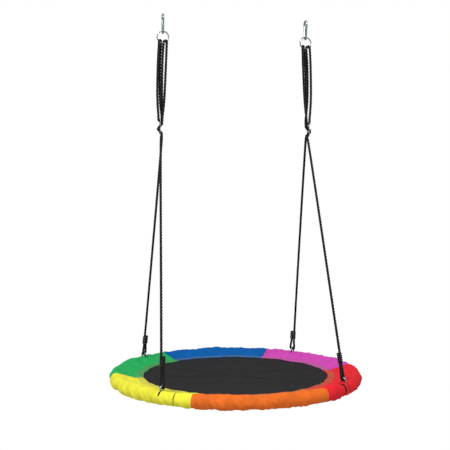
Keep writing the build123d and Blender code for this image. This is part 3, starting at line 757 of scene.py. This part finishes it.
def drawn_by_openings(point, on_lip):
    """How far openings and seams shift a point of the cloth and draw it in, and how firmly they hold it."""
    angle, turn = angle_of(point), along_section(point)
    shift, sink, held = 0.0, 0.0, 0.0
    for corner, eye in CORNERS.items():
        away = along_rim(angle, eye)
        if point.z > SEAT_Z:
            lens = max(0.0, 1.0 - (top_offset(point) / SLIT_HALF_LENGTH) ** 2)
            way = 1 if away > 0 else -1
            shift += (SLIT_HALF_WIDTH - HALF_COLUMN) * lens * nearness(away, SLIT_EASE) * way
            if on_lip and abs(away) < SLIT_LIP:
                held = 1.0
        opening, half_width, bow = TUBE_OPENINGS[corner]
        away = along_rim(angle, column_middle(opening))
        way = 1 if away > 0 else -1
        share = within((turn - BOW_SPAN[0]) / (BOW_SPAN[1] - BOW_SPAN[0]))
        reach = max(0.0, sin(pi * share))
        shift += bow * (reach - 0.5) * nearness(away, OPENING_EASE) ** 2
        gap = half_width * max(LEAST_OPEN, reach) - HALF_COLUMN
        shift += gap * nearness(away, LIP_EASE) * way
        if abs(away) < OPENING_LIP:
            held = max(held, HELD_AT_OPENING)
            sink = max(sink, OPENING_SINK)
    if any(abs(turned_by(angle, start)) < COLUMN / 4 for start in PANELS.values()):
        held = max(held, HELD_AT_SEAM)
        sink = max(sink, SEAM_SINK)
    return shift, sink, held


def cover_cloth():
    """The cloth of all six panels before it is folded, with its openings cut and its held points marked."""
    bm = loft_round(section_line())
    panel_layer = bm.faces.layers.int.new("panel")
    uv_layer = bm.loops.layers.uv.new("UVMap")
    held_layer = bm.verts.layers.float.new("held")
    for face in bm.faces:
        face[panel_layer] = int(angle_of(face.calc_center_median()) // 60.0)
        for loop in face.loops:
            spot = loop.vert.co
            along = along_rim(angle_of(spot), 60.0 * face[panel_layer])
            loop[uv_layer].uv = (along, radians(along_section(spot)) * COVER_RADIUS)
    opened = [face for face in bm.faces if in_opening(face.calc_center_median())]
    lips = {vertex for face in opened for vertex in face.verts}
    bmesh.ops.delete(bm, geom=opened, context="FACES")
    for vertex in bm.verts:
        turn = along_section(vertex.co)
        shift, sink, held = drawn_by_openings(vertex.co, vertex in lips)
        vertex[held_layer] = 1.0 if vertex.is_boundary and vertex not in lips else held
        vertex.co = Matrix.Rotation(shift / RIM_RADIUS, 3, "Z") @ vertex.co
        if sink > 0.0 and SINK_SPAN[0] < turn < SINK_SPAN[1]:
            middle = rim_point(angle_of(vertex.co), RIM_RADIUS, 0.0)
            vertex.co += (middle - vertex.co).normalized() * sink
    return object_from(bm, "cover_cloth")


LEAST_SECTION = 0.0232      # the cloth lies on the foam
# the folds of the gathered cloth: their height, then their noise, as features to the metre along the
# rim and across it, their slant and a seed
BROAD_FOLDS = (0.0042, 22.0, 7.0, 0.45, 3.7)
SHARP_FOLDS = (0.0042, 40.0, 9.0, -0.7, 11.3)
HEM_GATHERS = (0.0036, 80.0, 10.0, 0.2, 23.9)
CREASE_SHARPNESS = 3.2
CREASE_MEAN = 0.45          # taken off, so that creases don't make the rim thicker
GATHER_REACH = 0.055        # from the hem
HEM_HOLD = 0.022            # the cloth lies flat at the hem, and is free this far from it
STIFFENED = 0.8             # the part of a fold that a seam takes away


def facing_of(turn):
    """Which way the cloth faces, as an angle round the tube: each flank is flat and faces one way."""
    return min(360.0 - TOUCH, max(TOUCH, turn))


def fold_height(angle, turn, radius):
    """How far the cloth stands off its even round: broad slanting folds, sharp creases, hem gathers."""
    facing = facing_of(turn)
    from_hem = max(0.0, radius - HEM_OUTER) if facing != turn else FLANK_END - HEM_OUTER
    across = COVER_RADIUS * radians(facing - 180.0)
    across += (1 if turn > 180.0 else -1) * max(0.0, FLANK_END - radius) * (facing != turn)

    def unevenness(along_scale, across_scale, slant, seed):
        a = radians(angle) + slant * across / RIM_RADIUS
        ring = RIM_RADIUS * along_scale
        return noise.noise(Vector((ring * cos(a), ring * sin(a), across * across_scale + seed)))

    height = BROAD_FOLDS[0] * unevenness(*BROAD_FOLDS[1:])
    crease = 1.0 - min(1.0, CREASE_SHARPNESS * abs(unevenness(*SHARP_FOLDS[1:])))
    height += SHARP_FOLDS[0] * (crease * crease - CREASE_MEAN)
    height += HEM_GATHERS[0] * max(0.0, 1.0 - from_hem / GATHER_REACH) * unevenness(*HEM_GATHERS[1:])
    free = min(1.0, from_hem / HEM_HOLD)
    return height * free * free * (3.0 - 2.0 * free)


def fold(cloth):
    """Raise the folds of the cloth, keep it outside the foam and lay its edge on the hem."""
    held = cloth.data.attributes["held"]
    for vertex in cloth.data.vertices:
        angle, turn = angle_of(vertex.co), along_section(vertex.co)
        radius = hypot(vertex.co.x, vertex.co.y)
        facing = radians(facing_of(turn))
        a = radians(angle)
        outward = Vector((-cos(facing) * cos(a), -cos(facing) * sin(a), sin(facing)))
        loose = 1.0 - STIFFENED * held.data[vertex.index].value
        vertex.co += outward * fold_height(angle, turn, radius) * loose
        middle = rim_point(angle, RIM_RADIUS, 0.0)
        from_middle = vertex.co - middle
        if from_middle.length < LEAST_SECTION:
            vertex.co = middle + from_middle * (LEAST_SECTION / from_middle.length)
        vertex.co.z += drape(angle, radius)
    cloth.data.update()


CLOTH_THICKNESS = 0.0011


def panel_of(cloth, colour):
    """Cut one panel out of the folded cloth and give it its thickness."""
    number = int(PANELS[colour] // 60.0)
    bm = bmesh.new()
    bm.from_mesh(cloth.data)
    layer = bm.faces.layers.int["panel"]
    others = [face for face in bm.faces if face[layer] != number]
    bmesh.ops.delete(bm, geom=others, context="FACES")
    bmesh.ops.recalc_face_normals(bm, faces=bm.faces)
    outer = max(bm.faces, key=lambda face: face.calc_center_median().length)
    centre = outer.calc_center_median()
    if outer.normal.dot(centre - rim_point(angle_of(centre), RIM_RADIUS, 0.0)) < 0:
        bmesh.ops.reverse_faces(bm, faces=bm.faces)
    panel = object_from(bm, f"{colour}_cover")
    finished(panel, CLOTH[colour], "seat")
    thickness = panel.modifiers.new("thickness", "SOLIDIFY")
    thickness.thickness = CLOTH_THICKNESS
    thickness.offset = -1.0
    smooth = panel.modifiers.new("smooth", "SUBSURF")
    smooth.levels = smooth.render_levels = 1
    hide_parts(f"cover_{colour}")
    return panel


cloth = cover_cloth()
fold(cloth)
for colour in PANELS:
    panel_of(cloth, colour)
bpy.data.objects.remove(cloth)


# ================================================================ hem, mat and stitches
HEM_WAVE = 0.0026
# the hem's tuck under the cover: how far past its outer edge, and how far above its face
HEM_TUCK = [(0.014, 0.0022), (0.004, 0.0003)]
HEM_FLAT = (0.006, 0.004)   # from the inner edge and from the outer, where its flat starts and ends
HEM_BEAD = 0.0010           # half the rolled inner edge
HEM_STEPS = 72


def hem_edge(angle):
    """The radius of the hem's inner edge, which is not quite round."""
    return HEM_INNER + HEM_WAVE * wave(angle, 26.0, 9.7)


def hem_piece(colour, side):
    """One panel's hem, above the mat for side 1 and under it for side -1."""
    start = PANELS[colour]
    bm = bmesh.new()
    low, high = HEM_FACE - HEM_LAYER, HEM_FACE
    inner_flat, outer_flat = HEM_INNER + HEM_FLAT[0], HEM_OUTER - HEM_FLAT[1]
    profile = [(HEM_OUTER + out, high + rise) for out, rise in HEM_TUCK]
    profile += [(outer_flat, high), (inner_flat, high)]
    for turn in map(radians, (20, 55, 90, 125, 160)):
        bead = (low + high) / 2 + (high - low) / 2 * cos(turn)
        profile.append((HEM_INNER + HEM_BEAD - HEM_BEAD * sin(turn), bead))
    profile += [(inner_flat, low), (outer_flat, low), (HEM_OUTER + HEM_TUCK[1][0], low)]
    vertices = [bm.verts.new((x, 0.0, SEAT_Z + side * z)) for x, z in profile]
    edges = [bm.edges.new((a, b)) for a, b in zip(vertices, vertices[1:] + vertices[:1])]
    bmesh.ops.spin(
        bm, geom=vertices + edges, cent=(0, 0, SEAT_Z), axis=(0, 0, 1), angle=radians(60.0), steps=HEM_STEPS,
    )
    uv_layer = bm.loops.layers.uv.new("UVMap")
    for face in bm.faces:
        for loop in face.loops:
            spot = loop.vert.co
            loop[uv_layer].uv = (atan2(spot.y, spot.x) * RIM_RADIUS, hypot(spot.x, spot.y))
    bmesh.ops.holes_fill(bm, edges=bm.edges)
    bmesh.ops.rotate(
        bm, verts=bm.verts, cent=(0, 0, SEAT_Z), matrix=Matrix.Rotation(radians(start), 3, "Z")
    )
    for vertex in bm.verts:
        angle, radius = angle_of(vertex.co), hypot(vertex.co.x, vertex.co.y)
        inner = within((HEM_OUTER - radius) / (HEM_OUTER - HEM_INNER))
        new_radius = radius + (hem_edge(angle) - HEM_INNER) * inner
        vertex.co = rim_point(angle, new_radius, vertex.co.z - SEAT_Z + drape(angle, new_radius))
    bmesh.ops.recalc_face_normals(bm, faces=bm.faces)
    name = f"{colour}_hem_{'upper' if side > 0 else 'lower'}"
    return finished(object_from(bm, name), CLOTH[colour], "seat")


STITCH_PITCH = 0.0032
STITCH_HALF_WIDTH = 0.0016
THREAD_RADIUS = 0.00042
THREAD_RISE = 0.35          # of its radius, above the cloth
# how far the rows are from the hem's inner edge, on its upper and its lower face
STITCH_ROWS = {1: [0.0036, 0.0092, 0.0148, 0.0204, 0.0260], -1: [0.0045, 0.0240]}


def stitches(colour, side):
    """Zigzag rows of thread on one panel's hem."""
    start = PANELS[colour]
    bm = bmesh.new()
    for inset in STITCH_ROWS[side]:
        radius = HEM_INNER + inset
        count = int(radians(60.0) * radius / STITCH_PITCH * 2)
        line = []
        for step in range(1, count):
            angle = start + 60.0 * step / count
            place = radius + (hem_edge(angle) - HEM_INNER) * (1 - inset / (HEM_OUTER - HEM_INNER))
            place += STITCH_HALF_WIDTH * (1 if step % 2 else -1)
            height = side * (HEM_FACE + THREAD_RADIUS * THREAD_RISE) + drape(angle, place)
            line.append(rim_point(angle, place, height))
        row = tube("row", line, THREAD_RADIUS, 0)
        bm.from_mesh(row)
        bpy.data.meshes.remove(row)
    name = f"{colour}_stitches_{'upper' if side > 0 else 'lower'}"
    return finished(object_from(bm, name), THREAD[colour], "seat")


for colour in PANELS:
    for side in (1, -1):
        hem_piece(colour, side)
        stitches(colour, side)

# the mat's folds run outwards from its middle, at these angles
CREASES = [12.0, 57.0, 96.0, 141.0, 176.0, 223.0, 262.0, 318.0]
CREASE_HEIGHT = 0.0022
CREASE_HALF_WIDTH = 0.010
CREASE_WANDER = 6.0         # degrees
CREASE_START = 0.05         # full height from this radius outwards
CREASE_FADE = 0.03          # and fading to nothing over this much, short of the hem by CREASE_END
CREASE_END = 0.004
MAT_UNEVENNESS = 0.0020
UNEVENNESS_SCALE = 9.0      # features to the metre
UNEVENNESS_FADE = 0.06
MAT_RINGS = 56
MAT_SPOKES = 300


def crease_height(angle, radius):
    """A fold's ridge, and a soft unevenness."""
    height = 0.0
    for number, crease in enumerate(CREASES):
        wander = CREASE_WANDER * noise.noise(Vector((radius * 4, number, 0)))
        away = radians(abs(turned_by(angle, crease + wander))) * radius
        ridge = max(0.0, 1.0 - away / CREASE_HALF_WIDTH) ** 2
        height += CREASE_HEIGHT * (1 if number % 2 else -1) * ridge
    height *= min(1.0, radius / CREASE_START) * within((HEM_INNER - CREASE_END - radius) / CREASE_FADE)
    a = radians(angle)
    soft = noise.noise(Vector((radius * cos(a), radius * sin(a), 0.0)) * UNEVENNESS_SCALE)
    return height + MAT_UNEVENNESS * soft * within((HEM_INNER - radius) / UNEVENNESS_FADE)


def seat_mat():
    """The flat black cloth of the seat."""
    bm = bmesh.new()
    radii = [MAT_RADIUS * step / MAT_RINGS for step in range(1, MAT_RINGS + 1)]
    half = MAT_THICKNESS / 2
    profile = [(0.0, half)] + [(radius, half) for radius in radii]
    profile += [(radius, -half) for radius in reversed(radii)] + [(0.0, -half)]
    vertices = [bm.verts.new((x, 0.0, SEAT_Z + z)) for x, z in profile]
    edges = [bm.edges.new(pair) for pair in zip(vertices, vertices[1:])]
    bmesh.ops.spin(
        bm, geom=vertices + edges, cent=(0, 0, SEAT_Z), axis=(0, 0, 1), angle=2 * pi,
        steps=MAT_SPOKES, use_merge=True,
    )
    bmesh.ops.remove_doubles(bm, verts=bm.verts, dist=1e-6)
    uv_layer = bm.loops.layers.uv.new("UVMap")
    for vertex in bm.verts:
        angle, radius = angle_of(vertex.co), hypot(vertex.co.x, vertex.co.y)
        vertex.co.z += drape(angle, radius) + crease_height(angle, radius)
    for face in bm.faces:
        for loop in face.loops:
            loop[uv_layer].uv = (loop.vert.co.x, loop.vert.co.y)
    bmesh.ops.recalc_face_normals(bm, faces=bm.faces)
    mat = finished(object_from(bm, "seat_mat"), MAT_CLOTH, "seat")
    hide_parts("mat")
    return mat


mat = seat_mat()
